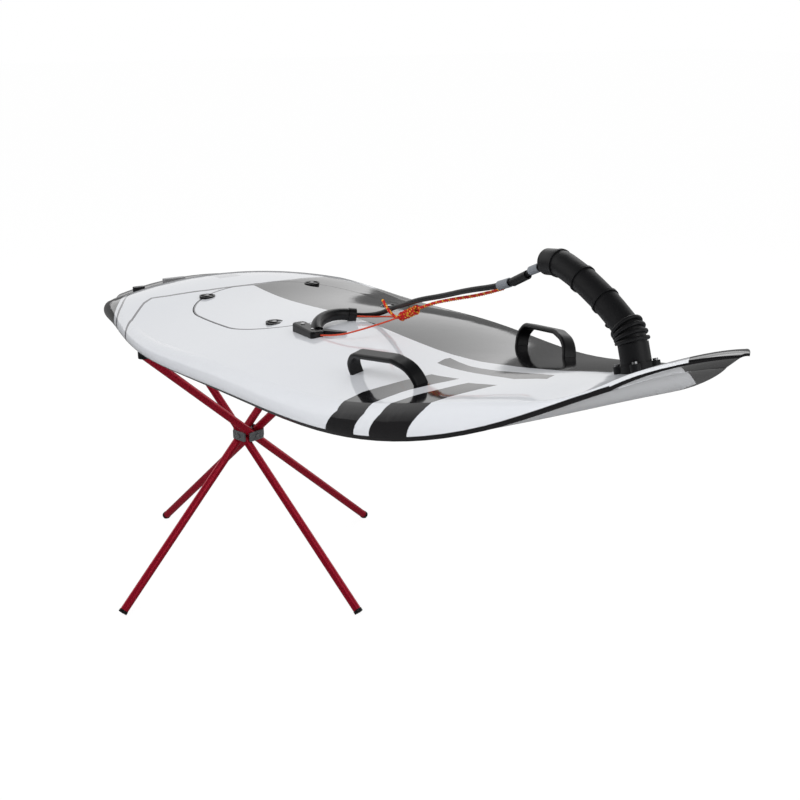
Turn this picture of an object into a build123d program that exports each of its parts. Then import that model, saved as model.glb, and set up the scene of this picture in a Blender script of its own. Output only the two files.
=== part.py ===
from build123d import *
import os
from math import atan2, cos, degrees, hypot, pi, radians, sin, sqrt, tan

os.makedirs("parts", exist_ok=True)

# Board: driving dimensions in millimetres, X forward, Y to port, Z up
skin = 3.5
tail_x = -875.0
nose_x = 949.0
shoulder_share = 0.92
edge_share = 0.97
transom_thickness = 6.0
fit_gap = 0.5

# Stations from tail to nose: place along the board, half width, deck height on the centreline,
# drop of the deck at its shoulder, depth of the rail edge, depth of the keel
stations = [
    (tail_x, 209.0, 669.0, 25.0, 61.0, 111.0),
    (-840.0, 241.0, 673.0, 31.0, 64.0, 116.0),
    (-760.0, 272.0, 694.0, 34.0, 75.0, 135.0),
    (-475.0, 318.0, 720.0, 39.0, 80.0, 148.0),
    (-125.0, 321.0, 742.0, 42.0, 86.0, 152.0),
    (225.0, 287.0, 759.0, 33.0, 83.0, 122.0),
    (525.0, 229.0, 796.0, 22.0, 78.0, 86.0),
    (740.0, 157.0, 846.0, 17.0, 39.0, 29.0),
    (830.0, 100.0, 881.0, 8.0, 21.0, 15.0),
]

# Hatch lid over the battery bay
hatch_x = -268.0
hatch_length = 476.0
hatch_width = 388.0
hatch_radius = 158.0
hatch_groove = 2.0
seat_gap = 1.5
seat_thickness = 4.0
seat_width = 22.0
latch_rows = [-467.0, -113.0]
latch_y = 126.0
latch_diameter = 34.0
latch_height = 3.0
latch_bar = 8.0
latch_core = 9.0

# Jet drive
jet_z = 616.0
duct_outer = 84.0
duct_bore = 76.0
bulkhead_x = -575.0
bulkhead_thickness = 8.0
shaft_diameter = 14.0
impeller_diameter = 66.0
impeller_x = -790.0
impeller_hub = 26.0
intake_length = 130.0
intake_width = 60.0
intake_x = -648.0
nozzle_length = 24.0
motor_diameter = 68.0
motor_length = 160.0

# Battery
battery_length = 270.0
battery_width = 96.0
battery_height = 92.0
battery_y = 114.0
battery_x = -412.0
bay_floor = 602.0

# Grab handles
handle_rear = (290.0, 164.0)
handle_front = (452.0, 141.0)
handle_height = 35.0
handle_lean = 9.0
handle_wide = 24.0
handle_thick = 9.0

# Steering hose
hose_x = 767.0
hose_z = 858.0
hose_tilt = 20.0
flange_diameter = 58.0
flange_thickness = 6.0
sleeve_diameter = 41.0
sleeve_length = 27.0
hose_diameter = 38.0
ring_diameter = 47.0
ring_thickness = 5.6
bend_radius = 38.0
bend_angle = 40.0
bellows_rings = 4
hose_ridges = (0.27, 0.56, 0.85)
nub_share = 0.14

# Stand
stand_x = -575.0
foot_radius = 385.5
foot_angle = 15.2
hub_z = 342.0
leg_diameter = 19.0
leg_wall = 2.0
leg_offset = 18.0
cap_diameter = 20.6
cap_length = 7.0
cap_sink = 2.6
pad_diameter = 25.0
pad_gap = 24.0
hub_height = 24.0
plate_length = 42.0
plate_height = 22.0
plate_thickness = 3.0

# Control handle
head_x = 24.0
head_y = -121.0
head_length = 86.0
head_width = 27.0
head_height = 17.0
grip_points = [(46.0, -112.0, 753.0), (2.0, -76.0, 765.0), (-1.0, -25.0, 764.0)]
trigger_lift = 9.5
trigger_thickness = 6.5
grip_diameter = 22.0
collar_diameter = 25.0
collar_length = 14.0

# Cable, rope and thin cords
cable_diameter = 9.0
cable_bands = [
    ("tape_aft", 0.82, 26.0, 14.5),
    ("cable_sleeve", 0.885, 38.0, 14.0),
    ("tape_fore", 0.95, 22.0, 13.5),
]
rope_diameter = 6.0
thin_diameter = 3.0
knot_start = (228.0, -11.0, 822.0)
knot_end = (172.0, -13.0, 796.0)
knot_diameter = 17.0
tail_caps = [
    ("tail_cap_dark", (-857.0, -155.0), 14.0, 30.0, 6.0),
    ("tail_cap_pale", (-858.0, -64.0), 14.0, 58.0, 5.0),
]


def station_at(x):
    rows = stations
    for a, b in zip(rows, rows[1:]):
        if x <= b[0]:
            t = (x - a[0]) / (b[0] - a[0])
            return tuple(p + t * (q - p) for p, q in zip(a, b))
    return rows[-1]


def deck_z(x, y):
    _, half, top, drop, rail, keel = station_at(x)
    reach = shoulder_share * half
    radius = (reach**2 + drop**2) / (2 * drop)
    return top - radius + sqrt(radius**2 - y**2)


def keel_z(x, y):
    _, half, top, drop, rail, keel = station_at(x)
    return top - rail - (keel - rail) * (1 - (y / (edge_share * half)) ** 2)


def turn_radii(points, least):
    radii = []
    for a, b, c in zip(points, points[1:], points[2:]):
        u = Vector(*b) - Vector(*a)
        v = Vector(*c) - Vector(*b)
        half = radians(u.get_angle(v)) / 2
        radii.append(max(least, 0.45 * min(u.length, v.length) / tan(half)))
    return radii


def save(piece, name):
    piece.part.label = name
    export_step(piece.part, f"parts/{name}.step")
    solids = piece.part.solids()
    box = piece.part.bounding_box()
    print(f"{name}: {len(solids)} solid, volume {piece.part.volume / 1000:.1f} cm3, "
          f"x {box.min.X:.1f}..{box.max.X:.1f} y {box.min.Y:.1f}..{box.max.Y:.1f} "
          f"z {box.min.Z:.1f}..{box.max.Z:.1f}")


# Outer form and inner form of the board, used to fit the other pieces to it
with BuildPart() as form:
    for x, half, top, drop, rail, keel in stations:
        reach = shoulder_share * half
        edge = edge_share * half
        rim = edge - skin - fit_gap
        middle = top - 0.55 * (drop + rail)
        with BuildSketch(Plane.YZ.offset(x)):
            with BuildLine():
                ThreePointArc((-reach, top - drop), (0, top), (reach, top - drop))
                ThreePointArc((reach, top - drop), (half, middle), (edge, top - rail))
                Line((edge, top - rail), (rim, top - rail))
                ThreePointArc((rim, top - rail), (0, top - keel), (-rim, top - rail))
                Line((-rim, top - rail), (-edge, top - rail))
                ThreePointArc((-edge, top - rail), (-half, middle), (-reach, top - drop))
            make_face()
    loft()

with BuildPart() as room:
    for x, half, top, drop, rail, keel in stations:
        inset = skin + fit_gap
        reach = shoulder_share * half - 0.4 * skin - fit_gap
        edge = edge_share * half - inset
        level = top - drop - inset
        floor = top - rail + inset
        middle = top - 0.55 * (drop + rail)
        with BuildSketch(Plane.YZ.offset(x)):
            with BuildLine():
                ThreePointArc((-reach, level), (0, top - inset), (reach, level))
                ThreePointArc((reach, level), (half - inset, middle), (edge, floor))
                ThreePointArc((edge, floor), (0, top - keel + inset), (-edge, floor))
                ThreePointArc((-edge, floor), (inset - half, middle), (-reach, level))
            make_face()
    loft()

# Deck skin: one arched shell from rail to rail
with BuildPart() as deck_skin:
    for x, half, top, drop, rail, keel in stations:
        reach = shoulder_share * half
        edge = edge_share * half
        inner = reach - 0.4 * skin
        middle = top - 0.55 * (drop + rail)
        with BuildSketch(Plane.YZ.offset(x)):
            with BuildLine():
                ThreePointArc((-edge, top - rail), (-half, middle), (-reach, top - drop))
                ThreePointArc((-reach, top - drop), (0, top), (reach, top - drop))
                ThreePointArc((reach, top - drop), (half, middle), (edge, top - rail))
                Line((edge, top - rail), (edge - skin, top - rail))
                ThreePointArc((edge - skin, top - rail), (half - skin, middle), (inner, top - drop - skin))
                ThreePointArc((inner, top - drop - skin), (0, top - skin), (-inner, top - drop - skin))
                ThreePointArc((-inner, top - drop - skin), (skin - half, middle), (skin - edge, top - rail))
                Line((skin - edge, top - rail), (-edge, top - rail))
            make_face()
    loft()

lifted = deck_skin.part.moved(Location((0, 0, 0.4)))

with BuildPart() as deck:
    add(deck_skin.part)
    with BuildSketch(Plane.XY.offset(500)):
        with Locations((hatch_x, 0)):
            RectangleRounded(hatch_length, hatch_width, hatch_radius)
    extrude(amount=400, mode=Mode.SUBTRACT)
save(deck, "deck")

with BuildPart() as hatch_lid:
    add(deck_skin.part)
    with BuildSketch(Plane.XY.offset(500)):
        with Locations((hatch_x, 0)):
            RectangleRounded(hatch_length - 2 * hatch_groove, hatch_width - 2 * hatch_groove,
                             hatch_radius - hatch_groove)
    extrude(amount=400, mode=Mode.INTERSECT)
save(hatch_lid, "hatch_lid")

# Seat under the rim of the hatch: an arched strip kept only as a ring
with BuildPart() as hatch_seat:
    for x, half, top, drop, rail, keel in stations:
        reach = shoulder_share * half
        radius = (reach**2 + drop**2) / (2 * drop)
        side = 0.5 * hatch_width + seat_width
        upper = radius - skin - seat_gap
        lower = upper - seat_thickness
        zu = top - radius + sqrt(upper**2 - min(side, reach) ** 2)
        zl = top - radius + sqrt(lower**2 - min(side, reach) ** 2)
        side = min(side, reach)
        with BuildSketch(Plane.YZ.offset(x)):
            with BuildLine():
                ThreePointArc((-side, zu), (0, top - skin - seat_gap), (side, zu))
                Line((side, zu), (side, zl))
                ThreePointArc((side, zl), (0, top - skin - seat_gap - seat_thickness), (-side, zl))
                Line((-side, zl), (-side, zu))
            make_face()
    loft()
    with BuildSketch(Plane.XY.offset(500)):
        with Locations((hatch_x, 0)):
            RectangleRounded(hatch_length + seat_width, hatch_width + seat_width, hatch_radius + seat_width / 2)
            RectangleRounded(hatch_length - seat_width, hatch_width - seat_width, hatch_radius - seat_width / 2,
                             mode=Mode.SUBTRACT)
    extrude(amount=400, mode=Mode.INTERSECT)
save(hatch_seat, "hatch_seat")

# Quarter-turn latches on the lid, and their steel cores
with BuildPart() as latches:
    for x in latch_rows:
        for y in (-latch_y, latch_y):
            level = deck_z(x, y)
            with BuildSketch(Plane.XY.offset(level - 8)):
                with Locations((x, y)):
                    Circle(latch_diameter / 2)
                    Circle(latch_core / 2, mode=Mode.SUBTRACT)
            extrude(amount=8 + latch_height)
    add(form.part, mode=Mode.SUBTRACT)
    for x in latch_rows:
        for y in (-latch_y, latch_y):
            with BuildSketch(Plane.XY.offset(deck_z(x, y) + latch_height - 1.6)):
                with Locations((x, y)):
                    Circle(latch_diameter / 2 - 3.5)
                    Rectangle(latch_diameter, latch_bar, rotation=28, mode=Mode.SUBTRACT)
                    Circle(latch_core / 2 + 2, mode=Mode.SUBTRACT)
            extrude(amount=9, mode=Mode.SUBTRACT)
    add(lifted, mode=Mode.SUBTRACT)
save(latches, "latches")

with BuildPart() as latch_cores:
    for x in latch_rows:
        for y in (-latch_y, latch_y):
            level = deck_z(x, y)
            with BuildSketch(Plane.XY.offset(level - 8)):
                with Locations((x, y)):
                    Circle(latch_core / 2)
            extrude(amount=8 + latch_height + 1.0)
    add(form.part, mode=Mode.SUBTRACT)
    add(lifted, mode=Mode.SUBTRACT)
save(latch_cores, "latch_cores")

# Lower hull shell with the intake slot
with BuildPart() as hull:
    for x, half, top, drop, rail, keel in stations:
        rim = edge_share * half - skin - fit_gap
        low = top - rail
        with BuildSketch(Plane.YZ.offset(x)):
            with BuildLine():
                ThreePointArc((-rim, low), (0, top - keel), (rim, low))
                Line((rim, low), (rim, low + skin))
                ThreePointArc((rim, low + skin), (0, top - keel + skin), (-rim, low + skin))
                Line((-rim, low + skin), (-rim, low))
            make_face()
    loft()
    with BuildSketch(Plane.XY.offset(400)):
        with Locations((intake_x, 0)):
            Rectangle(intake_length, intake_width)
    extrude(amount=jet_z - 400, mode=Mode.SUBTRACT)
save(hull, "hull")

# Nose: solid, from the last station to the tip
nose_rows = [
    stations[-1],
    (885.0, 70.0, 907.0, 4.0, 12.0, 9.0),
    (925.0, 34.0, 920.0, 2.5, 7.5, 6.0),
    (nose_x, 8.0, 923.5, 1.0, 4.5, 3.5),
]
with BuildPart() as nose_cap:
    for x, half, top, drop, rail, keel in nose_rows:
        reach = shoulder_share * half
        edge = edge_share * half
        with BuildSketch(Plane.YZ.offset(x)):
            with BuildLine():
                ThreePointArc((-reach, top - drop), (0, top), (reach, top - drop))
                ThreePointArc((reach, top - drop), (half, top - 0.55 * (drop + rail)), (edge, top - rail))
                ThreePointArc((edge, top - rail), (0, top - keel), (-edge, top - rail))
                ThreePointArc((-edge, top - rail), (-half, top - 0.55 * (drop + rail)), (-reach, top - drop))
            make_face()
    loft()
save(nose_cap, "nose_cap")

# Transom at the tail, with the jet outlet through it
x, half, top, drop, rail, keel = stations[0]
with BuildPart() as transom:
    with BuildSketch(Plane.YZ.offset(tail_x - transom_thickness)):
        with BuildLine():
            ThreePointArc((-shoulder_share * half, top - drop), (0, top), (shoulder_share * half, top - drop))
            ThreePointArc((shoulder_share * half, top - drop), (half, top - 0.55 * (drop + rail)),
                          (edge_share * half, top - rail))
            ThreePointArc((edge_share * half, top - rail), (0, top - keel), (-edge_share * half, top - rail))
            ThreePointArc((-edge_share * half, top - rail), (-half, top - 0.55 * (drop + rail)),
                          (-shoulder_share * half, top - drop))
        make_face()
        with Locations((0, jet_z)):
            Circle(duct_bore / 2, mode=Mode.SUBTRACT)
    extrude(amount=transom_thickness)
save(transom, "transom")

with BuildPart() as jet_nozzle:
    with BuildSketch(Plane.YZ.offset(tail_x - transom_thickness)):
        with Locations((0, jet_z)):
            Circle(duct_bore / 2 + 8)
    with BuildSketch(Plane.YZ.offset(tail_x - transom_thickness - nozzle_length)):
        with Locations((0, jet_z)):
            Circle(duct_bore / 2 - 1)
    loft()
    with BuildSketch(Plane.YZ.offset(tail_x - transom_thickness)):
        with Locations((0, jet_z)):
            Circle(duct_bore / 2)
    with BuildSketch(Plane.YZ.offset(tail_x - transom_thickness - nozzle_length)):
        with Locations((0, jet_z)):
            Circle(duct_bore / 2 - 7)
    loft(mode=Mode.SUBTRACT)
save(jet_nozzle, "jet_nozzle")

# Bulkhead that carries the motor, with the shaft hole
with BuildPart() as bulkhead:
    add(room.part)
    with BuildSketch(Plane.YZ.offset(bulkhead_x)):
        with Locations((0, jet_z)):
            Rectangle(900, 600)
            Circle(shaft_diameter / 2 + 5, mode=Mode.SUBTRACT)
    extrude(amount=bulkhead_thickness, mode=Mode.INTERSECT)
    add(deck_skin.part, mode=Mode.SUBTRACT)
save(bulkhead, "bulkhead")

# Pump duct: round tube with a square throat down to the intake slot
with BuildPart() as duct_blank:
    with BuildSketch(Plane.YZ.offset(tail_x)):
        with Locations((0, jet_z)):
            Circle(duct_outer / 2)
    extrude(amount=bulkhead_x - tail_x)
    with BuildSketch(Plane.XY.offset(400)):
        with Locations((intake_x, 0)):
            Rectangle(intake_length + 8, intake_width + 8)
    extrude(amount=jet_z - 400)

with BuildPart() as jet_duct:
    add(room.part)
    add(duct_blank.part, mode=Mode.INTERSECT)
    with BuildSketch(Plane.YZ.offset(tail_x)):
        with Locations((0, jet_z)):
            Circle(duct_bore / 2)
    extrude(amount=bulkhead_x - tail_x, mode=Mode.SUBTRACT)
    with BuildSketch(Plane.XY.offset(400)):
        with Locations((intake_x, 0)):
            Rectangle(intake_length, intake_width)
    extrude(amount=jet_z - 400, mode=Mode.SUBTRACT)
save(jet_duct, "jet_duct")

grille_z = keel_z(intake_x, 0) + skin + 6
with BuildPart() as intake_grille:
    with BuildSketch(Plane.XY.offset(grille_z)):
        with GridLocations(0, intake_width / 5, 1, 4):
            with Locations((intake_x, 0)):
                Rectangle(intake_length, 4)
    extrude(amount=8)
save(intake_grille, "intake_grille")

# Impeller on its shaft
motor_face = bulkhead_x + bulkhead_thickness
with BuildPart() as impeller:
    with BuildSketch(Plane.YZ.offset(impeller_x - 18)):
        with Locations((0, jet_z)):
            Circle(impeller_hub / 2)
    extrude(amount=36)
    for k in range(4):
        blade = Plane((impeller_x, 0, jet_z), x_dir=(1, 0, 0), z_dir=(0, cos(k * pi / 2), sin(k * pi / 2)))
        with BuildSketch(blade.offset(impeller_hub / 2 - 2)):
            Rectangle(34, 3.2, rotation=38)
        extrude(amount=impeller_diameter / 2 - impeller_hub / 2 + 2)
save(impeller, "impeller")

with BuildPart() as shaft:
    with BuildSketch(Plane.YZ.offset(impeller_x + 18)):
        with Locations((0, jet_z)):
            Circle(shaft_diameter / 2)
    extrude(amount=motor_face - 0.4 - impeller_x - 18)
save(shaft, "shaft")

with BuildPart() as motor:
    with BuildSketch(Plane.YZ.offset(motor_face)):
        with Locations((0, jet_z)):
            Circle(motor_diameter / 2)
    extrude(amount=motor_length)
    fillet(motor.faces().sort_by(Axis.X)[-1].edges(), 6)
save(motor, "motor")

# Bay floor: two foam bearers that follow the hull, one under each battery
with BuildPart() as bay_bearers:
    add(room.part)
    with BuildSketch(Plane.XY.offset(400)):
        for side in (-1, 1):
            with Locations((battery_x, side * battery_y)):
                Rectangle(battery_length, battery_width)
    extrude(amount=bay_floor - 400, mode=Mode.INTERSECT)
save(bay_bearers, "bay_bearers")

with BuildPart() as batteries:
    with BuildSketch(Plane.XY.offset(bay_floor)):
        for side in (-1, 1):
            with Locations((battery_x, side * battery_y)):
                RectangleRounded(battery_length, battery_width, 8)
    extrude(amount=battery_height)
save(batteries, "batteries")

# Grab handles: flat strap loops that lean outward
for name, side in (("starboard", -1), ("port", 1)):
    foot_a = Vector(handle_rear[0], side * handle_rear[1], deck_z(handle_rear[0], handle_rear[1]))
    foot_b = Vector(handle_front[0], side * handle_front[1], deck_z(handle_front[0], handle_front[1]))
    along = (foot_b - foot_a).normalized()
    rise = Vector(-0.12, side * handle_lean / handle_height, 1).normalized()
    crown = handle_height - handle_thick / 2
    route = [
        foot_a - rise * 14,
        foot_a + rise * 14 - along * 3,
        foot_a + rise * crown + along * 16,
        foot_b + rise * crown - along * 48,
        foot_b + rise * 18 - along * 8,
        foot_b - rise * 14,
    ]
    start = route[1] - route[0]
    with BuildPart() as handle:
        with BuildLine():
            FilletPolyline(*route, radius=[22, 22, 34, 40])
        with BuildSketch(Plane(route[0], x_dir=start.cross(along), z_dir=start)):
            RectangleRounded(handle_wide, handle_thick, 3.5)
        sweep()
        add(form.part, mode=Mode.SUBTRACT)
        add(deck_skin.part, mode=Mode.SUBTRACT)
    save(handle, f"handle_{name}")

# Steering hose: flange with screws, sleeve, ribbed hose
lean = Vector(-sin(radians(hose_tilt)), 0, cos(radians(hose_tilt)))
base = Vector(hose_x, 0, hose_z)
foot_plane = Plane(base, x_dir=(0, 1, 0), z_dir=lean)
with BuildPart() as hose_flange:
    with BuildSketch(foot_plane.offset(-12)):
        Circle(flange_diameter / 2 - 6)
        with PolarLocations(flange_diameter / 2 - 5, 4, 45):
            Circle(7)
    extrude(amount=12 + flange_thickness)
    with BuildSketch(foot_plane.offset(flange_thickness)):
        Circle(sleeve_diameter / 2)
    extrude(amount=sleeve_length)
    add(form.part, mode=Mode.SUBTRACT)
    add(deck_skin.part, mode=Mode.SUBTRACT)
save(hose_flange, "hose_flange")

with BuildPart() as flange_screws:
    with BuildSketch(foot_plane.offset(flange_thickness)):
        with PolarLocations(flange_diameter / 2 - 4, 4, 45):
            Circle(3.6)
    extrude(amount=3.0)
save(flange_screws, "flange_screws")

# Bellows: a short bend with rounded rings, then the ribbed hose
sleeve_top = base + lean * (flange_thickness + sleeve_length)
bend_in = Vector(-lean.Z, 0, lean.X)


def bend_at(angle):
    turn = radians(angle)
    return sleeve_top + (lean * sin(turn) + bend_in * (1 - cos(turn))) * bend_radius


def bend_way(angle):
    turn = radians(angle)
    return lean * cos(turn) + bend_in * sin(turn)


bellows_top = bend_at(bend_angle)
bellows_way = bend_way(bend_angle)

with BuildPart() as ring:
    Cylinder(radius=ring_diameter / 2, height=ring_thickness)
    fillet(ring.edges(), 0.46 * ring_thickness)

with BuildPart() as hose_bellows:
    with BuildLine():
        ThreePointArc(sleeve_top, bend_at(bend_angle / 2), bend_at(bend_angle))
    with BuildSketch(Plane(sleeve_top, x_dir=(0, 1, 0), z_dir=lean)):
        Circle(hose_diameter / 2)
    sweep()
    for k in range(bellows_rings):
        angle = bend_angle * (k + 0.5) / bellows_rings
        with Locations(Plane(bend_at(angle), x_dir=(0, 1, 0), z_dir=bend_way(angle)).location):
            add(ring.part)
    split(bisect_by=Plane(sleeve_top, x_dir=(0, 1, 0), z_dir=lean), keep=Keep.TOP)
    split(bisect_by=Plane(bellows_top, x_dir=(0, 1, 0), z_dir=bellows_way), keep=Keep.BOTTOM)
save(hose_bellows, "hose_bellows")

hose_route = [
    bellows_top,
    bellows_top + bellows_way * 44,
    Vector(647.0, 0, 954.0),
    Vector(597.0, 0, 967.5),
    Vector(567.0, 0, 963.5),
]
hose_radii = turn_radii(hose_route, 8)
print("hose radii", [round(r, 1) for r in hose_radii])
with BuildPart() as hose:
    with BuildLine() as hose_line:
        FilletPolyline(*hose_route, radius=hose_radii)
    with BuildSketch(Plane(bellows_top, x_dir=(0, 1, 0), z_dir=bellows_way)):
        Circle(hose_diameter / 2)
    sweep()
    for share in hose_ridges:
        with BuildSketch(Plane(hose_line.line @ share, x_dir=(0, 1, 0), z_dir=hose_line.line % share)):
            Circle(hose_diameter / 2 + 1.6)
        extrude(amount=2, both=True)
    outward = Vector(0, -1, 0).cross(hose_line.line % nub_share)
    with BuildSketch(Plane(hose_line.line @ nub_share, x_dir=(0, 1, 0), z_dir=outward)):
        Circle(4.5)
    extrude(amount=hose_diameter / 2 + 6)
save(hose, "hose")

# Stand: four tubes crossing at the hub in a pinwheel
names = ["forward", "port", "aft", "starboard"]
for k, name in enumerate(names):
    angle = radians(foot_angle + 90 * k)
    ground = Vector(stand_x + foot_radius * cos(angle), foot_radius * sin(angle), 0)
    inward = Vector(-cos(angle), -sin(angle), 0)
    left = Vector(-inward.Y, inward.X, 0)
    pivot = Vector(stand_x, 0, hub_z) + left * leg_offset
    axis = (pivot - ground).normalized()
    reach = (pivot - ground).length
    tip = ground + axis * reach
    while keel_z(tip.X, tip.Y) - tip.Z > pad_gap:
        reach += 2
        tip = ground + axis * reach
    lean_angle = degrees(atan2(axis.Z, hypot(axis.X, axis.Y)))
    cap_low = (cap_diameter / 2 * cos(radians(lean_angle)) - cap_sink) / sin(radians(lean_angle))
    tube_low = cap_low + cap_length
    with BuildPart() as leg:
        with BuildSketch(Plane(ground + axis * tube_low, z_dir=axis)):
            Circle(leg_diameter / 2)
            Circle(leg_diameter / 2 - leg_wall, mode=Mode.SUBTRACT)
        extrude(amount=reach - tube_low)
    save(leg, f"leg_{name}")
    with BuildPart() as foot_cap:
        with BuildSketch(Plane(ground + axis * cap_low, z_dir=axis)):
            Circle(cap_diameter / 2)
        extrude(amount=cap_length)
        with BuildSketch(Plane.XY):
            with Locations((ground.X, ground.Y)):
                Rectangle(300, 300)
        extrude(amount=-200, mode=Mode.SUBTRACT)
    save(foot_cap, f"foot_cap_{name}")
    with BuildPart() as tip_pad:
        with BuildSketch(Plane.XY.offset(tip.Z - pad_diameter)):
            with Locations((tip.X, tip.Y)):
                Circle(pad_diameter / 2)
        extrude(amount=pad_diameter + 50)
        with BuildSketch(Plane(ground + axis * (reach - 90), z_dir=axis)):
            Circle(leg_diameter / 2)
        extrude(amount=90, mode=Mode.SUBTRACT)
        with BuildSketch(Plane.XY.offset(tip.Z - 60)):
            with Locations((tip.X, tip.Y)):
                Rectangle(200, 200)
        extrude(amount=54, mode=Mode.SUBTRACT)
        add(form.part, mode=Mode.SUBTRACT)
        add(deck_skin.part, mode=Mode.SUBTRACT)
    save(tip_pad, f"tip_pad_{name}")

# Hub: core between the tubes, outer plates and their bolts
hub_turn = foot_angle + degrees(atan2(leg_offset, foot_radius))
hub_reach = leg_offset * foot_radius / hypot(leg_offset, foot_radius)
core_half = hub_reach - leg_diameter / 2
plate_out = hub_reach + leg_diameter / 2
centre = Vector(stand_x, 0, hub_z)
facings = [Vector(cos(radians(hub_turn + 90 * k)), sin(radians(hub_turn + 90 * k)), 0) for k in range(4)]
with BuildPart() as hub_core:
    with BuildSketch(Plane.XY.offset(hub_z - hub_height / 2)):
        with Locations((stand_x, 0)):
            Rectangle(2 * core_half, 2 * core_half, rotation=hub_turn)
            Circle(4, mode=Mode.SUBTRACT)
    extrude(amount=hub_height)
save(hub_core, "hub_core")

with BuildPart() as hub_plates:
    for facing in facings:
        with BuildSketch(Plane(centre + facing * plate_out, x_dir=(0, 0, 1), z_dir=facing)):
            RectangleRounded(plate_height, plate_length, 3)
        extrude(amount=plate_thickness)
save(hub_plates, "hub_plates")

with BuildPart() as hub_bolts:
    for facing in facings:
        with BuildSketch(Plane(centre + facing * (plate_out + plate_thickness), x_dir=(0, 0, 1), z_dir=facing)):
            Circle(5)
        extrude(amount=3)
save(hub_bolts, "hub_bolts")

# Control handle lying on the deck ahead of the hatch
head_low = deck_z(head_x, head_y)
with BuildPart() as control_grip:
    with BuildSketch(Plane.XY.offset(head_low - 8)):
        with Locations((head_x, head_y)):
            RectangleRounded(head_length, head_width, 8)
    extrude(amount=8 + head_height)
    fillet(control_grip.faces().sort_by(Axis.Z)[-1].edges(), 4)
    with BuildLine() as grip_line:
        ThreePointArc(grip_points[0], grip_points[1], grip_points[2])
    with BuildSketch(Plane(grip_line.line @ 0, z_dir=grip_line.line % 0)):
        Circle(grip_diameter / 2)
    sweep()
    add(form.part, mode=Mode.SUBTRACT)
save(control_grip, "control_grip")

grip_end = grip_line.line @ 1
grip_way = grip_line.line % 1
with BuildPart() as control_collar:
    with BuildSketch(Plane(grip_end, z_dir=grip_way)):
        Circle(collar_diameter / 2)
    extrude(amount=collar_length)
    add(form.part, mode=Mode.SUBTRACT)
save(control_collar, "control_collar")

side_face = head_y + head_width / 2
with BuildPart() as trigger:
    with BuildSketch(Plane.XY.offset(head_low + trigger_lift)):
        with BuildLine():
            Polyline((head_x + 20, side_face), (head_x + 38, side_face), (head_x + 66, side_face + 28),
                     (head_x + 61, side_face + 34), (head_x + 28, side_face + 9), close=True)
        make_face()
    extrude(amount=trigger_thickness)
    add(control_grip.part, mode=Mode.SUBTRACT)
    add(lifted, mode=Mode.SUBTRACT)
save(trigger, "trigger")

with BuildPart() as grip_screws:
    with BuildSketch(Plane.XY.offset(head_low + head_height)):
        with GridLocations(head_length * 0.5, 0, 2, 1):
            with Locations((head_x, head_y)):
                Circle(4)
    extrude(amount=1.2)
    add(control_grip.part, mode=Mode.SUBTRACT)
save(grip_screws, "grip_screws")


def cord(name, route, diameter, least):
    radii = turn_radii(route, least)
    print(name, "radii", [round(r, 1) for r in radii])
    with BuildPart() as piece:
        with BuildLine() as line:
            FilletPolyline(*route, radius=radii)
        with BuildSketch(Plane(line.line @ 0, z_dir=line.line % 0)):
            Circle(diameter / 2)
        sweep()
    save(piece, name)
    length = sum(edge.length for edge in line.edges())
    share = piece.part.volume / (pi * diameter**2 / 4 * length)
    print(name, f"length {length:.0f} mm, volume against section times length {share:.3f}")
    return line.line


# Cable from the collar to the open end of the hose
hose_end = hose_line.line @ 1
hose_way = hose_line.line % 1
below = Vector(0, 1, 0).cross(hose_way)
below = below if below.Z < 0 else below * -1
cable_start = grip_end + grip_way * collar_length
cable_last = hose_end + below * 10
cable_route = [
    cable_start,
    cable_start + grip_way * 34,
    Vector(108, 14, 797),
    Vector(175, -6, 818),
    Vector(235, -14, 840),
    Vector(296, -6, 858),
    Vector(378, -10, 885),
    Vector(448, -3, 904),
    Vector(505, 0, 927),
    cable_last + hose_way * 28,
    cable_last,
]
cable_line = cord("control_cable", cable_route, cable_diameter, 20)

for name, share, length, outer in cable_bands:
    with BuildPart() as band:
        with BuildSketch(Plane(cable_line @ share, z_dir=cable_line % share)):
            Circle(outer / 2)
            Circle(cable_diameter / 2 + 1.1, mode=Mode.SUBTRACT)
        extrude(amount=length / 2, both=True)
    save(band, name)

# Red rope with its wound knot, and the two thin trigger cords
knot_way = (Vector(*knot_end) - Vector(*knot_start)).normalized()
rope_route = [
    Vector(447, 9, 899),
    Vector(392, 5, 878),
    Vector(330, -3, 860),
    Vector(*knot_start) - knot_way * 40,
    Vector(*knot_start),
]
cord("rope", rope_route, rope_diameter, 18)
with BuildPart() as rope_knot:
    with BuildSketch(Plane(Vector(*knot_start), z_dir=knot_way)):
        Circle(knot_diameter / 2)
    extrude(amount=(Vector(*knot_end) - Vector(*knot_start)).length)
    fillet(rope_knot.edges(), 3)
save(rope_knot, "rope_knot")
tail_start = Vector(*knot_end)
cord("rope_tail", [tail_start, tail_start + knot_way * 28, Vector(112, -15, 814)], rope_diameter, 18)
across = knot_way.cross(Vector(0, 0, 1)).normalized()
beside = grip_way.cross(Vector(0, 0, 1)).normalized()
cord("trigger_cord_a", [
    tail_start + across * 5.2,
    tail_start + across * 5.2 + knot_way * 22,
    Vector(104, 12, 779),
    cable_start + beside * 9 + grip_way * 24,
    cable_start + beside * 9,
], thin_diameter, 9)
cord("trigger_cord_b", [
    tail_start - across * 5.2,
    tail_start - across * 5.2 + knot_way * 22,
    Vector(138, -66, 774),
    Vector(112, -106, 760),
    Vector(head_x + head_length / 2 + 0.6, head_y + 4, head_low + 10),
], thin_diameter, 9)

# Low caps on the tail edge of the deck
for name, spot, length, width, height in tail_caps:
    level = deck_z(spot[0], spot[1])
    with BuildPart() as tail_piece:
        with BuildSketch(Plane.XY.offset(level - 10)):
            with Locations(spot):
                RectangleRounded(length, width, min(length, width) * 0.45)
        extrude(amount=10 + height)
        add(form.part, mode=Mode.SUBTRACT)
    save(tail_piece, name)
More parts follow.
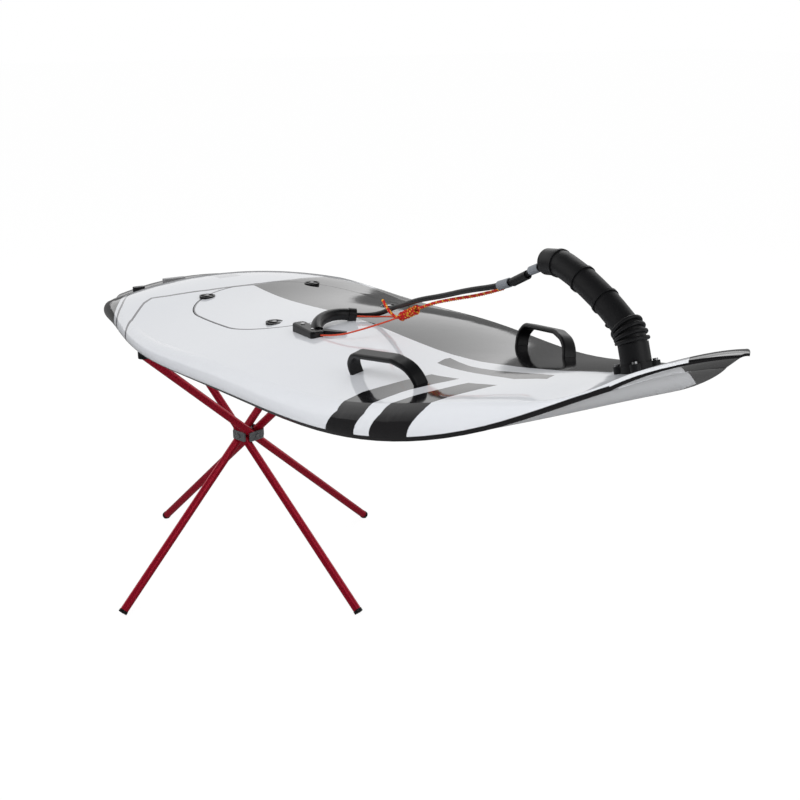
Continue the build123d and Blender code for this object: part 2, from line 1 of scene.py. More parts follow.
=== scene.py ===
# %% [markdown]
# A jet surfboard on its folding stand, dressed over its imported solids.
# The solids already have the right size and place, so this file only adds what solids can't
# show: paint, carbon, rubber grain, anodised tubes, twisted rope and smooth cords.

# %% Load the solids
import math

import bmesh
import bpy
from mathutils import Matrix, Vector


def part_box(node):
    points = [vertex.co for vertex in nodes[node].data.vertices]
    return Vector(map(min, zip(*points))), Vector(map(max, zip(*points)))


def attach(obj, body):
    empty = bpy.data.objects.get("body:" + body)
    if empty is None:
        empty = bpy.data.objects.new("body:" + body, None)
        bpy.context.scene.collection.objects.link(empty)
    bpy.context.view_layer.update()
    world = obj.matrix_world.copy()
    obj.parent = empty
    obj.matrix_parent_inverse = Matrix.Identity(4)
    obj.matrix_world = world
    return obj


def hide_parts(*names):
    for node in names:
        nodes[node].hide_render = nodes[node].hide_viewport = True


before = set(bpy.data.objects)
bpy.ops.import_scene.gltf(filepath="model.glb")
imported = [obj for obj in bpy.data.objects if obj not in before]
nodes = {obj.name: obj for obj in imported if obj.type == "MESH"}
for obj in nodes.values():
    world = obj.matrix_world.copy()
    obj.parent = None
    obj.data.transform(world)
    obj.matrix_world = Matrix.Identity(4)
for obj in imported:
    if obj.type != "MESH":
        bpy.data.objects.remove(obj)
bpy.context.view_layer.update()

# %% [markdown]
# The camera stands where the photographer stood: off the starboard bow, looking down by less
# than twenty degrees. A camera in Blender looks along its own minus Z, so its three axes are
# worked out as right, up and back, and go straight into its matrix.

# %% Camera
view_azimuth = math.radians(59.83)
view_elevation = math.radians(18.535)
picture_width = 800
focal_pixels = 1163.9
film_width = 36
camera_place = Vector((1.874, -1.0034, 1.3035))

back = Vector((
    math.sin(view_azimuth) * math.cos(view_elevation),
    -math.cos(view_azimuth) * math.cos(view_elevation),
    math.sin(view_elevation)))
right = Vector((math.cos(view_azimuth), math.sin(view_azimuth), 0))
up = back.cross(right)
lens = bpy.data.cameras.new("camera")
lens.sensor_width = film_width
lens.lens = focal_pixels / picture_width * film_width
camera = bpy.data.objects.new("camera", lens)
camera.matrix_world = Matrix((
    (right.x, up.x, back.x, camera_place.x),
    (right.y, up.y, back.y, camera_place.y),
    (right.z, up.z, back.z, camera_place.z),
    (0, 0, 0, 1)))
scene = bpy.context.scene
scene.collection.objects.link(camera)
scene.camera = camera
print("lens", round(lens.lens, 2), "mm")

# %% [markdown]
# Shader nodes are sums and masks, and a long list of links hides the idea behind them.
# Here a socket is wrapped in a small class, so that a mask is written as plain arithmetic.

# %% A socket that does arithmetic
class Value:
    def __init__(self, finish, socket):
        self.finish = finish
        self.socket = socket

    def output(self, key):
        """Another output of the same node."""
        return Value(self.finish, self.socket.node.outputs[key])

    def math(self, operation, *terms):
        return self.finish.add("ShaderNodeMath", {"operation": operation}, dict(enumerate(terms)))

    def __add__(self, other):
        return self.math("ADD", self, other)

    def __sub__(self, other):
        return self.math("SUBTRACT", self, other)

    def __rsub__(self, other):
        return self.math("SUBTRACT", other, self)

    def __mul__(self, other):
        return self.math("MULTIPLY", self, other)

    def __truediv__(self, other):
        return self.math("DIVIDE", self, other)

    def __abs__(self):
        return self.math("ABSOLUTE", self)

    __radd__ = __add__
    __rmul__ = __mul__


def both(a, b):
    """The lower of two values: where two masks overlap."""
    return a.math("MINIMUM", a, b)


def either(a, b):
    """The higher of two values: where one mask or the other is."""
    return a.math("MAXIMUM", a, b)


print("values add, subtract, multiply and divide")

# %% [markdown]
# A finish is one material, or the world. All its nodes come from one method, which takes the
# node's type, its settings and what goes into its sockets. The rest are short names for the
# nodes that this board's finishes use most.

# %% A finish
line_blur = 0.0008


class Finish:
    def __init__(self, name, world=False):
        self.material = (bpy.data.worlds if world else bpy.data.materials).new(name)
        self.material.use_nodes = True
        self.tree = self.material.node_tree
        self.shader = self.tree.nodes["Background" if world else "Principled BSDF"]

    def add(self, kind, settings=None, inputs=None, out=0):
        node = self.tree.nodes.new(kind)
        for key, value in (settings or {}).items():
            if key == "stops":
                ramp = node.color_ramp
                while len(ramp.elements) < len(value):
                    ramp.elements.new(0.5)
                for element, (place, level) in zip(ramp.elements, value):
                    element.position = place
                    element.color = (level, level, level, 1)
            else:
                setattr(node, key, value)
        for key, value in (inputs or {}).items():
            self.feed(node.inputs[key], value)
        return Value(self, node.outputs[out])

    def feed(self, socket, value):
        if isinstance(value, Value):
            self.tree.links.new(value.socket, socket)
        else:
            socket.default_value = value

    def set(self, **sockets):
        for key, value in sockets.items():
            self.feed(self.shader.inputs[key.replace("_", " ")], value)

    def point(self, kind="Object"):
        return self.add("ShaderNodeTexCoord", out=kind)

    def axes(self, vector):
        parts = self.add("ShaderNodeSeparateXYZ", inputs={0: vector})
        return [parts.output(k) for k in range(3)]

    def kept(self, name):
        """A number that the mesh keeps on its points."""
        return self.add("ShaderNodeAttribute", {"attribute_name": name}, out="Fac")

    def mask(self, distance, blur):
        """One where the distance is above nought, over an edge of this blur."""
        return self.add("ShaderNodeMath", {"operation": "MULTIPLY_ADD", "use_clamp": True},
                        {0: distance, 1: 1 / blur, 2: 0.5})

    def line(self, distance, width):
        """One on a line of this width, where the distance is nought."""
        return self.mask(width / 2 - abs(distance), line_blur)

    def blend(self, factor, low, high):
        return self.add("ShaderNodeMix", {"data_type": "RGBA"}, {0: factor, 6: low, 7: high}, out=2)

    def ray(self, *kinds):
        """One for light paths of any of these kinds."""
        paths = self.add("ShaderNodeLightPath")
        total, *others = [paths.output(f"Is {kind} Ray") for kind in kinds]
        for more in others:
            total = either(total, more)
        return total

    def noise(self, point, scale, detail=2.0):
        return self.add("ShaderNodeTexNoise", {}, {"Vector": point, "Scale": scale, "Detail": detail})

    def bump(self, height, strength, distance):
        return self.add("ShaderNodeBump", {},
                        {"Height": height, "Strength": strength, "Distance": distance})

    def curve(self, value, low, high, stops):
        """A table of value and level, read with straight lines between its rows."""
        span = high - low
        floor = min(level for _, level in stops)
        reach = max(level for _, level in stops) - floor
        rows = [((v - low) / span, (level - floor) / reach) for v, level in stops]
        share = (value - low) / span
        return self.add("ShaderNodeValToRGB", {"stops": rows}, {0: share}) * reach + floor


def dress(finish, *names):
    for name in names:
        mesh = nodes[name].data
        mesh.materials.clear()
        mesh.materials.append(finish.material)


def linear(red, green, blue):
    """A screen colour, each part from 0 to 255, as the light that a shader takes."""
    shares = [level / 255 for level in (red, green, blue)]
    return (*[((s + 0.055) / 1.055) ** 2.4 if s > 0.04 else s / 12.92 for s in shares], 1)


def darker(colour, share):
    return (*[level * share for level in colour[:3]], 1)


print("finishes ready")

# %% [markdown]
# The free cords come first. A tube could be swept by hand, ring by ring, but a curve with a
# round bevel stays smooth at every bend and takes its width from one number. So each cord is one
# NURBS line, drawn by the same points that shaped its solid.

# %% Cord routes, in metres
cable_points = [
    (0.00341, -0.01184, 0.76217), (0.01412, 0.02012, 0.75772), (0.108, 0.014, 0.797),
    (0.175, -0.006, 0.818), (0.235, -0.014, 0.84), (0.296, -0.006, 0.858), (0.378, -0.01, 0.885),
    (0.448, -0.003, 0.904), (0.505, 0.0, 0.927), (0.54057, 0.0, 0.94989), (0.56832, 0.0, 0.95359)]
rope_points = [
    (0.447, 0.009, 0.899), (0.392, 0.005, 0.878), (0.33, -0.003, 0.86), (0.26426, -0.0097, 0.83884),
    (0.228, -0.011, 0.822)]
tail_points = [(0.172, -0.013, 0.796), (0.14662, -0.01391, 0.78422), (0.112, -0.015, 0.814)]
short_cord_points = [
    (0.17181, -0.0078, 0.796), (0.15187, -0.00852, 0.78674), (0.104, 0.012, 0.779),
    (0.0195, 0.00786, 0.75903), (0.01194, -0.0147, 0.76217)]
lever_cord_points = [
    (0.17219, -0.0182, 0.796), (0.15224, -0.01891, 0.78674), (0.138, -0.066, 0.774),
    (0.112, -0.106, 0.76), (0.0676, -0.117, 0.75231)]
cable_width = 0.009
cord_width = 0.003
steps_between_points = 16
bevel_steps = 5


def smooth_line(name, points, thickness):
    shape = bpy.data.curves.new(name, "CURVE")
    shape.dimensions = "3D"
    shape.resolution_u = steps_between_points
    line = shape.splines.new("NURBS")
    line.points.add(len(points) - 1)
    for spot, point in zip(line.points, points):
        spot.co = (*point, 1)
    line.order_u = 3
    line.use_endpoint_u = True
    shape.bevel_depth = thickness / 2
    shape.bevel_resolution = bevel_steps
    shape.use_fill_caps = True
    piece = bpy.data.objects.new(name, shape)
    scene.collection.objects.link(piece)
    return piece


def line_points(name, points):
    """The smooth line itself as points, for lengths and for pieces that are wound along it."""
    guide = smooth_line(name, points, 0)
    mesh = bpy.data.meshes.new_from_object(guide)
    spots = [v.co.copy() for v in mesh.vertices]
    bpy.data.objects.remove(guide)
    bpy.data.meshes.remove(mesh)
    return spots


def run_length(spots):
    return sum((b - a).length for a, b in zip(spots, spots[1:]))


cable_length = run_length(line_points("cable_guide", cable_points))
cable = smooth_line("cable_skin", cable_points, cable_width)
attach(cable, "board")
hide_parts("control_cable")
print("cable length", round(cable_length, 3))

# %% [markdown]
# The rope is three strands laid round each other. The lay could be painted on one tube, but its
# outline would stay straight. So each strand is its own tube, wound about the smooth line at a
# fixed turn per length, which keeps the lay even through the bends. The distance along the rope
# stays on the points, because the colour needs it later.

# %% Strands wound about a line
strand_count = 3
strand_sides = 8
strand_shift = 0.004
upright = Vector((0, 0, 1))


def wound(name, spots, strand_width, offset, turn_length):
    verts, faces, laid = [], [], []
    along = [0.0]
    for a, b in zip(spots, spots[1:]):
        along.append(along[-1] + (b - a).length)
    for k in range(strand_count):
        first = len(verts)
        for i, spot in enumerate(spots):
            ahead = (spots[min(i + 1, len(spots) - 1)] - spots[max(i - 1, 0)]).normalized()
            side = ahead.cross(upright).normalized()
            over = side.cross(ahead)
            angle = 2 * math.pi * (along[i] / turn_length + k / strand_count)
            centre = spot + (side * math.cos(angle) + over * math.sin(angle)) * offset
            for j in range(strand_sides):
                around = 2 * math.pi * j / strand_sides
                outward = side * math.cos(around) + over * math.sin(around)
                verts.append(centre + outward * strand_width / 2)
                laid.append(along[i] + strand_shift * k)
        for i in range(len(spots) - 1):
            for j in range(strand_sides):
                a = first + i * strand_sides + j
                b = first + i * strand_sides + (j + 1) % strand_sides
                faces.append((a, b, b + strand_sides, a + strand_sides))
        last = first + (len(spots) - 1) * strand_sides
        faces.append(tuple(range(first + strand_sides - 1, first - 1, -1)))
        faces.append(tuple(range(last, last + strand_sides)))
    mesh = bpy.data.meshes.new(name)
    mesh.from_pydata(verts, [], faces)
    mark = mesh.attributes.new("laid", "FLOAT", "POINT")
    mark.data.foreach_set("value", laid)
    mesh.shade_smooth()
    piece = bpy.data.objects.new(name, mesh)
    scene.collection.objects.link(piece)
    return piece


print("strands to a rope:", strand_count)

# %% [markdown]
# A knot of wound turns joins the rope and its loose end. The turns are the same three strands
# along a helix that is a little uneven, as hand-wound rope is.

# %% Rope, its knot and its loose end
strand_width = 0.0033
strand_offset = 0.00135
rope_lay = 0.018
knot_turns = 9
knot_steps = 20
knot_inset = 0.003
knot_share = 0.9
knot_lay = 0.013
coil_radius = 0.0052
coil_width = 0.0058
coil_strand = coil_width * 0.56
coil_offset = coil_width * 0.22
coil_wobble = 0.12
wobble_pace = 0.37

knot_start = Vector(rope_points[-1])
knot_end = Vector(tail_points[0])
knot_way = (knot_end - knot_start).normalized()
knot_side = knot_way.cross(upright).normalized()
knot_over = knot_side.cross(knot_way)
coil = []
for i in range(knot_turns * knot_steps + 1):
    angle = 2 * math.pi * i / knot_steps
    wobble = 1 + coil_wobble * math.sin(angle * wobble_pace)
    reach = knot_inset + (knot_end - knot_start).length * knot_share * i / (knot_turns * knot_steps)
    outward = knot_side * math.cos(angle) + knot_over * math.sin(angle)
    coil.append(knot_start + knot_way * reach + outward * coil_radius * wobble)
knot = wound("knot_coil", coil, coil_strand, coil_offset, knot_lay)
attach(knot, "board")
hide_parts("rope_knot")


def rope_piece(name, points, node):
    spots = line_points(name + "_guide", points)
    piece = wound(name, spots, strand_width, strand_offset, rope_lay)
    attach(piece, "board")
    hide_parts(node)
    print(name, "length", round(run_length(spots), 3))
    return piece


rope = rope_piece("rope_strands", rope_points, "rope")
rope_end = rope_piece("rope_end_strands", tail_points, "rope_tail")

# %% [markdown]
# Two thin cords run from the knot to the hand control. They are too thin for their lay to show,
# so each is one smooth line.

# %% Thin cords
thin_cords = []
for name, points, node in (("short_cord", short_cord_points, "trigger_cord_a"),
                           ("lever_cord", lever_cord_points, "trigger_cord_b")):
    length = run_length(line_points(name + "_guide", points))
    piece = smooth_line(name, points, cord_width)
    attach(piece, "board")
    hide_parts(node)
    thin_cords.append(piece)
    print(name, "length", round(length, 3))

# %% [markdown]
# The dark line along the rail follows the deck's lower rim, which rises toward the nose, so a
# fixed height can't draw it. The rim's faces look down and end in sharp edges that run along the
# board, and each deck point keeps its height above them as a number for the paint to read. Edges
# inside the deck look down too, but they lie higher than the rim can rise.

# %% Height above the rail's rim
hatch_margin = 0.006
facing_down = -0.85
along_share = 0.4
steepest_rise = 0.75
rise_slack = 0.001
hatch_low, hatch_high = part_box("hatch_lid")


def by_hatch(spot):
    inside_length = hatch_low.x - hatch_margin < spot.x < hatch_high.x + hatch_margin
    return inside_length and abs(spot.y) < hatch_high.y + hatch_margin


shell = bmesh.new()
shell.from_mesh(nodes["deck"].data)
lowest, widest = {}, {}
for edge in shell.edges:
    start, end = (vert.co for vert in edge.verts)
    run = end - start
    lengthwise = abs(run.x) > along_share * abs(run.y)
    if edge.is_boundary and edge.link_faces[0].normal.z < facing_down and lengthwise:
        for spot in (start, end):
            if not by_hatch(spot):
                place = round(spot.x, 3)
                lowest[place] = spot.z
                widest[place] = max(abs(spot.y), widest.get(place, 0.0))
shell.free()


def on_rim(place):
    return all(lowest[place] <= lowest[other] + steepest_rise * abs(place - other) + rise_slack
               for other in lowest)


rim_places = [place for place in sorted(lowest) if on_rim(place)]


def rim_at(place, table):
    for a, b in zip(rim_places, rim_places[1:]):
        if place <= b:
            share = max(0.0, (place - a) / (b - a))
            return table[a] + share * (table[b] - table[a])
    return table[rim_places[-1]]


def keep_on_points(node, name, measure):
    mesh = nodes[node].data
    mark = mesh.attributes.new(name, "FLOAT", "POINT")
    mark.data.foreach_set("value", [measure(v.co) for v in mesh.vertices])


for name in ("deck", "hatch_lid"):
    keep_on_points(name, "rail_height", lambda spot: spot.z - rim_at(spot.x, lowest))
keep_on_points("hull", "edge_inset", lambda spot: rim_at(spot.x, widest) - abs(spot.y))
print("rim from", rim_places[0], "to", rim_places[-1], "in", len(rim_places), "places")

# %% [markdown]
# The deck is one gloss skin with two colours: white to starboard, black carbon to port, split on
# the centreline. A picture laid over it would need an unwrapped deck and would blur close by. So
# it is painted by place on the board, in metres, and the lid's paint lifts off with the lid. Each
# outline is a short table of places, and a mask is one on its dark side.

# %% Black half and tail lines
soft_edge = 0.0010
half_width = 0.34
band_step = 0.026
dark_gap = 0.004
dark_front = 0.725
dark_slant = 0.3

deck_paint = Finish("deck_paint")
mask = deck_paint.mask
point = deck_paint.point()
x, y, _ = deck_paint.axes(point)
side = abs(y)
tail_line = deck_paint.curve(side, 0.0, half_width, [
    (0.0, -0.496), (0.100, -0.517), (0.181, -0.552), (0.215, -0.576), (0.239, -0.558), (0.284, -0.491),
    (0.323, -0.432)])
edge_line = deck_paint.curve(side, 0.0, half_width, [
    (0.0, -0.752), (0.199, -0.742), (0.220, -0.720), (0.251, -0.658), (0.280, -0.593), (0.304, -0.547),
    (0.330, -0.500)])
tail_band = mask(edge_line - band_step - x, soft_edge)
split = deck_paint.curve(x, -0.6, 0.9, [
    (-0.49, -0.006), (0.30, -0.001), (0.47, 0.001), (0.63, -0.018), (0.73, -0.010)])
port_half = both(mask(y - split, soft_edge), mask(x - tail_line - dark_gap, soft_edge))
dark = both(port_half, mask(dark_front - x - y * dark_slant, soft_edge))
dark = either(dark, tail_band)
print("black half ends at", dark_front)

# %% [markdown]
# A slim dark band lies beside the split, and two carbon stripes cross the starboard shoulder.
# Where the deck turns down to the rail, a stripe's edge runs on along the skin, so the distance
# from the centreline is stretched there by how far the skin has turned down.

# %% Slim band and shoulder stripes
slim_aft = 0.340
slim_fore = 0.656
slim_middle = 0.05
slim_slant = 0.5
shoulder_height = 0.045
shoulder_stretch = 0.9
shoulder_out = -0.34
shoulder_in = -0.05
stripes = [
    (0.099,
     [(-0.303, 0.366), (-0.286, 0.380), (-0.258, 0.397), (-0.205, 0.387), (-0.138, 0.404), (-0.097, 0.416)],
     [(-0.295, 0.430), (-0.275, 0.442), (-0.245, 0.458), (-0.202, 0.459), (-0.169, 0.463), (-0.101, 0.493)]),
    (0.113,
     [(-0.285, 0.465), (-0.266, 0.475), (-0.236, 0.491), (-0.207, 0.499), (-0.181, 0.505), (-0.114, 0.538)],
     [(-0.262, 0.541), (-0.250, 0.548), (-0.226, 0.562), (-0.203, 0.573), (-0.173, 0.581), (-0.112, 0.612)]),
]

inner = deck_paint.curve(x, 0.3, 0.7, [(0.335, -0.016), (0.422, -0.033), (0.513, -0.040), (0.670, -0.048)])
outer = deck_paint.curve(x, 0.3, 0.7, [
    (0.335, -0.020), (0.356, -0.052), (0.500, -0.066), (0.604, -0.080), (0.670, -0.068)])
slim_sides = both(mask(inner - y, soft_edge), mask(y - outer, soft_edge))
slim_front = mask(slim_fore - x - (y + slim_middle) * slim_slant, soft_edge)
slim_ends = both(mask(x - slim_aft, soft_edge), slim_front)
dark = either(dark, both(slim_sides, slim_ends))

rail_height = deck_paint.kept("rail_height")
turned = either(shoulder_height - rail_height, 0.0)
across = y - turned * shoulder_stretch
for inner_end, aft_edge, fore_edge in stripes:
    aft = deck_paint.curve(across, shoulder_out, shoulder_in, aft_edge)
    fore = deck_paint.curve(across, shoulder_out, shoulder_in, fore_edge)
    stripe = both(mask(x - aft, soft_edge), mask(fore - x, soft_edge))
    dark = either(dark, both(stripe, mask(-inner_end - y, soft_edge)))
print("shoulder stripes", len(stripes))

# %% [markdown]
# The rail's dark line is wider toward the nose than at the tail. Two grey lines follow the tail,
# and one the hatch. Its seam is a rounded rectangle, so one distance draws it all round: the
# straight distance beside its sides, and the distance from a corner's centre at the corners.

# %% Rail line, fine lines and bare patch
tail_line_width = 0.011
edge_line_width = 0.012
seam_width = 0.005
hatch_radius = 0.158
patch_place = (-0.631, -0.014)
patch_half = (0.024, 0.026)
patch_blur = 0.002

rail_reach = deck_paint.curve(x, -0.9, 0.9, [
    (-0.88, 0.0025), (-0.35, 0.0035), (0.25, 0.008), (0.83, 0.007)])
dark = either(dark, mask(rail_reach - rail_height, soft_edge))
patch = both(mask(patch_half[0] - abs(x - patch_place[0]), patch_blur),
             mask(patch_half[1] - abs(y - patch_place[1]), patch_blur))
lines = either(deck_paint.line(x - tail_line, tail_line_width),
               deck_paint.line(x - edge_line, edge_line_width))
hatch_middle = (hatch_low.x + hatch_high.x) / 2
reach_x = abs(x - hatch_middle) - ((hatch_high.x - hatch_low.x) / 2 - hatch_radius)
reach_y = side - (hatch_high.y - hatch_radius)
out_x = either(reach_x, 0.0)
out_y = either(reach_y, 0.0)
squares = out_x * out_x + out_y * out_y
corner = squares.math("SQRT", squares)
inside = both(either(reach_x, reach_y), 0.0)
lines = either(lines, deck_paint.line(corner + inside - hatch_radius, seam_width))
print("seam round a hatch", round(hatch_high.x - hatch_low.x, 3), "m long")

# %% [markdown]
# Gloss paint is never quite even: a faint cloud in the white and a fine ripple in the gloss keep
# reflections from looking like a mirror's. The carbon shows its diagonal tows.

# %% Deck colours
white = linear(232, 234, 238)
cloud_white = linear(226, 229, 235)
patch_grey = linear(150, 151, 156)
line_grey = linear(60, 58, 64)
carbon_low = (0.004, 0.004, 0.005, 1)
carbon_high = (0.012, 0.011, 0.012, 1)
tow_width = 0.0028
cloud_scale = 3.0
ripple_scale = 60.0
patch_strength = 0.5
line_strength = 0.85
deck_rough = 0.05
rough_swing = 0.04


def carbon_weave(finish, point):
    return finish.add("ShaderNodeTexWave", {"bands_direction": "DIAGONAL"},
                      {"Vector": point, "Scale": 0.5 / tow_width})


carbon = deck_paint.blend(carbon_weave(deck_paint, point), carbon_low, carbon_high)
paint = deck_paint.blend(deck_paint.noise(point, cloud_scale), white, cloud_white)
paint = deck_paint.blend(patch * patch_strength, paint, patch_grey)
paint = deck_paint.blend(lines * line_strength, paint, line_grey)
ripple = deck_paint.noise(point, ripple_scale, detail=1.0)
deck_paint.set(
    Base_Color=deck_paint.blend(dark, paint, carbon),
    Roughness=ripple * rough_swing + deck_rough,
    Normal=deck_paint.bump(ripple, strength=0.05, distance=0.0004))
dress(deck_paint, "deck", "hatch_lid")
print("deck paint nodes", len(deck_paint.tree.nodes))

# %% [markdown]
# The lower hull is white with a carbon edge along the rail. The nose cap's tip is carbon, and the
# white runs over its shoulders to a slanted edge. The cap could be cut in two at that edge, but
# paint keeps it one smooth piece. How far a face looks up tells its top from its rail and underside.

# %% Carbon and white on hull and nose
carbon_rough = 0.08
hull_edge = 0.012
tip_start = 0.850
tip_slant = 0.82
turn_blur = 0.05
rail_low = -0.8
rail_high = -0.05


def carbon_and_white(name):
    finish = Finish(name)
    point = finish.point()
    x, y, _ = finish.axes(point)
    weave = carbon_weave(finish, point)
    finish.set(Roughness=weave * rough_swing + carbon_rough)
    return finish, finish.blend(weave, carbon_low, carbon_high), x, y


hull_skin, carbon, x, y = carbon_and_white("hull_skin")
under_tip = hull_skin.mask(x - tip_start + y * tip_slant, soft_edge)
rail_edge = hull_skin.mask(hull_edge - hull_skin.kept("edge_inset"), soft_edge)
hull_skin.set(Base_Color=hull_skin.blend(either(under_tip, rail_edge), white, carbon))
dress(hull_skin, "hull")

nose_skin, carbon, x, y = carbon_and_white("nose_skin")
slant = nose_skin.curve(abs(y), 0.0, 0.1, [(0.004, 0.862), (0.027, 0.888), (0.045, 0.905), (0.060, 0.918)])
facing = nose_skin.axes(nose_skin.add("ShaderNodeNewGeometry", out="Normal"))[2]
upper = nose_skin.mask(facing, turn_blur)
rail = both(nose_skin.mask(facing - rail_low, turn_blur), nose_skin.mask(rail_high - facing, turn_blur))
tip_line = slant * upper + (tip_start - y * tip_slant) * (1 - upper)
pale = both(nose_skin.mask(tip_line - x, soft_edge), 1 - rail)
nose_skin.set(Base_Color=nose_skin.blend(pale, carbon, white))
dress(nose_skin, "nose_cap")
print("hull nodes", len(hull_skin.tree.nodes), "nose nodes", len(nose_skin.tree.nodes))

# %% [markdown]
# Rubber and moulded plastic differ in gloss and grain more than in colour. One recipe makes them
# all: a fine grain in the gloss and the bump, and a slow cloud in the colour.

# %% Black rubber, black plastic, trim
def moulded(name, colour, rough, grain, depth):
    """Grain is its scale, as spots to the metre, and depth its height in metres."""
    slow_scale = 14.0
    shade = 0.7
    rough_swing = 0.16
    finish = Finish(name)
    point = finish.point()
    grit = finish.noise(point, grain, detail=3.0)
    cloud = finish.noise(point, slow_scale)
    finish.set(
        Base_Color=finish.blend(cloud, darker(colour, shade), colour),
        Roughness=grit * rough_swing + (rough - rough_swing / 2),
        Normal=finish.bump(grit, strength=0.25, distance=depth),
        Specular_IOR_Level=0.35)
    return finish


rubber = moulded("black_rubber", (0.007, 0.007, 0.008, 1), rough=0.48, grain=900.0, depth=0.0003)
plastic = moulded("black_plastic", (0.006, 0.006, 0.007, 1), rough=0.38, grain=1300.0, depth=0.0002)
trim = moulded("dark_trim", (0.03, 0.03, 0.033, 1), rough=0.35, grain=1000.0, depth=0.0002)
pale_trim = moulded("pale_trim", (0.45, 0.45, 0.46, 1), rough=0.4, grain=1000.0, depth=0.0002)
inner_plastic = moulded("inner_plastic", (0.05, 0.05, 0.053, 1), rough=0.55, grain=700.0, depth=0.0003)
tape = moulded("grey_tape", (0.27, 0.29, 0.32, 1), rough=0.5, grain=1600.0, depth=0.0003)
stand_ends = [name for name in nodes if name.startswith(("foot_cap", "tip_pad"))]
dress(rubber, "hose_flange", "hose_bellows", "hose", "cable_sleeve", *stand_ends)
dress(plastic, "latches", "handle_starboard", "handle_port", "control_grip", "control_collar", "trigger",
      "intake_grille")
dress(trim, "transom", "tail_cap_dark")
dress(pale_trim, "tail_cap_pale")
dress(inner_plastic, "hatch_seat", "bulkhead", "jet_duct", "bay_bearers")
dress(tape, "tape_aft", "tape_fore")
cable.data.materials.append(rubber.material)
print("rubber on", len(stand_ends), "ends of the stand")

# %% [markdown]
# The stand's tubes are anodised: the metal's own shine comes partly through a red layer. Red paint
# would shine white and bare metal would shine red all over, so the surface is half metallic, with
# a fine grain in its gloss. Steel and alloy are bare, and the hub and the motor are painted.

# %% Metals
def metal(name, colour, rough, grain, shine=1.0):
    """Grain is its scale, as spots to the metre, and shine the metallic share."""
    shade = 0.8
    rough_swing = 0.12
    finish = Finish(name)
    grit = finish.noise(finish.point(), grain, detail=4.0)
    finish.set(
        Base_Color=finish.blend(grit, darker(colour, shade), colour),
        Metallic=shine,
        Roughness=grit * rough_swing + (rough - rough_swing / 2))
    return finish


red_tube = metal("red_anodised", (0.46, 0.006, 0.028, 1), rough=0.28, grain=220.0, shine=0.55)
steel = metal("steel", (0.55, 0.55, 0.56, 1), rough=0.3, grain=400.0)
alloy = metal("alloy", (0.6, 0.61, 0.62, 1), rough=0.38, grain=300.0)
hub_grey = moulded("hub_grey", (0.13, 0.135, 0.14, 1), rough=0.42, grain=500.0, depth=0.0003)
motor_paint = moulded("motor_paint", (0.03, 0.03, 0.034, 1), rough=0.4, grain=600.0, depth=0.0002)
tubes = [name for name in nodes if name.startswith("leg_")]
dress(red_tube, *tubes)
dress(steel, "latch_cores", "flange_screws", "grip_screws", "hub_bolts", "impeller", "shaft")
dress(alloy, "jet_nozzle", "batteries")
dress(hub_grey, "hub_core", "hub_plates")
dress(motor_paint, "motor")
print("red tubes", len(tubes))

# %% [markdown]
# The rope is red with yellow flecks that come round with the lay. The distance along the rope
# was kept on its points, so the flecks follow it.

# %% Rope and cord colours
fleck_pitch = 0.009
fleck_share = 0.26
fleck_blur = 0.06
rope_fibres = 2200.0
cord_fibres = 1800.0

rope_finish = Finish("red_rope")
beats = rope_finish.kept("laid") / fleck_pitch
fleck = rope_finish.mask(fleck_share - beats.math("FRACT", beats), fleck_blur)
fibre = rope_finish.noise(rope_finish.point(), rope_fibres)
rope_finish.set(
    Base_Color=rope_finish.blend(fleck, linear(206, 30, 34), linear(240, 186, 60)),
    Roughness=0.8,
    Normal=rope_finish.bump(fibre, strength=0.4, distance=0.0004))
for piece in (rope, rope_end, knot):
    piece.data.materials.append(rope_finish.material)
cord_finish = Finish("orange_cord")
fibre = cord_finish.noise(cord_finish.point(), cord_fibres)
cord_finish.set(
    Base_Color=cord_finish.blend(fibre, linear(196, 52, 30), linear(232, 92, 60)),
    Roughness=0.75)
for piece in thin_cords:
    piece.data.materials.append(cord_finish.material)
print("flecks every", fleck_pitch, "m")

# %% [markdown]
# The studio is plain: a wide pale floor that is white to the eye. Enough light to make it white
# would be too much for the board. So a shader that glows for camera rays is mixed over the floor's
# own, with a little of the floor's own left in for the shadow.

# %% Floor
floor_half = 30
eye_glow = 1.06
mirror_glow = 0.16
glow_share = 0.9

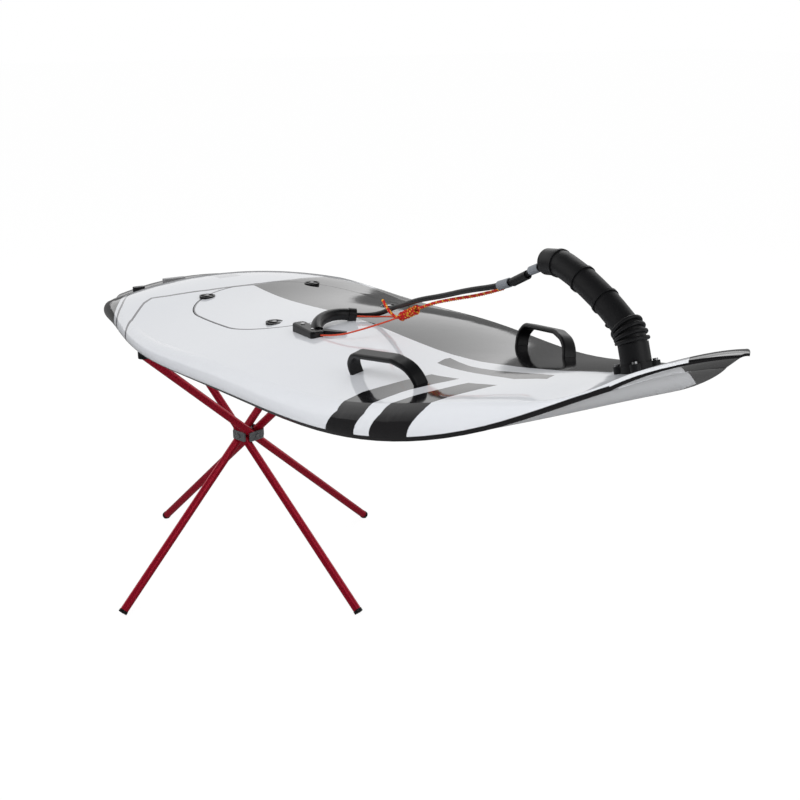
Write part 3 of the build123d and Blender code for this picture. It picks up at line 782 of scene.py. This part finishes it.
scene.view_settings.view_transform = "Standard"
floor_mesh = bpy.data.meshes.new("floor")
corners = [(-floor_half, -floor_half, 0), (floor_half, -floor_half, 0),
           (floor_half, floor_half, 0), (-floor_half, floor_half, 0)]
floor_mesh.from_pydata(corners, [], [(0, 1, 2, 3)])
floor = bpy.data.objects.new("floor", floor_mesh)
scene.collection.objects.link(floor)
ground = Finish("studio_floor")
ground.set(Base_Color=(0.9, 0.9, 0.9, 1), Roughness=0.9)
eye = ground.ray("Camera")
mirror = ground.ray("Glossy", "Transmission")
glow = ground.add("ShaderNodeEmission", inputs={"Color": eye * eye_glow + mirror * mirror_glow})
own = Value(ground, ground.shader.outputs[0])
mixed = ground.add("ShaderNodeMixShader", inputs={0: eye * glow_share + mirror, 1: own, 2: glow})
ground.feed(ground.tree.nodes["Material Output"].inputs["Surface"], mixed)
floor_mesh.materials.append(ground.material)
print("floor", 2 * floor_half, "m wide")

# %% [markdown]
# The world is white to the eye. In mirrors it is white only in a wide screen behind the board,
# and dim elsewhere, so that black gloss stays black where it faces the camera.

# %% World
screen_way = (-0.8645, 0.5025)
screen_start = 0.1
screen_blur = 0.5
screen_low = 0.60
screen_top = 0.74
height_blur = 0.10
low_level = 0.75
top_level = 0.2
dim_level = 0.04
soft_level = 0.45

sky = Finish("studio", world=True)
scene.world = sky.material
east, north, high = sky.axes(sky.point("Generated"))
eye = sky.ray("Camera")
mirror = sky.ray("Glossy", "Transmission")
behind = sky.mask(north * screen_way[1] + east * screen_way[0] - screen_start, screen_blur)
low = sky.mask(screen_low - high, height_blur)
top = sky.mask(screen_top - high, height_blur)
screen = behind * (low * low_level + top * top_level) + dim_level
soft = 1 - either(eye, mirror)
sky.set(Color=eye + mirror * screen + soft * soft_level, Strength=1.0)
print("world nodes", len(sky.tree.nodes))

# %% [markdown]
# Four large lamps light the board, large because a small lamp gives hard shadows. The key lamp and
# the low lamp are left out of reflections, so that their squares don't show in the gloss.

# %% Lamps
lamps = (
    ("key_lamp", (0.6, -2.2, 3.4), (0, 0, 0.6), 2.4, 48, False),
    ("fill_lamp", (3.2, 0.8, 2.4), (0, 0, 0.6), 2.0, 20, True),
    ("low_lamp", (2.0, -1.4, 0.25), (0.7, 0, 0.8), 1.4, 14, False),
    ("back_lamp", (-2.4, 2.2, 3.0), (0, 0, 0.6), 2.2, 24, True))
for name, place, aim, size, power, in_gloss in lamps:
    light = bpy.data.lights.new(name, "AREA")
    light.size = size
    light.energy = power
    lamp = bpy.data.objects.new(name, light)
    lamp.visible_glossy = in_gloss
    lamp.location = place
    lamp.rotation_euler = (Vector(aim) - Vector(place)).to_track_quat("-Z", "Y").to_euler()
    scene.collection.objects.link(lamp)
print("lamps", len(lamps))
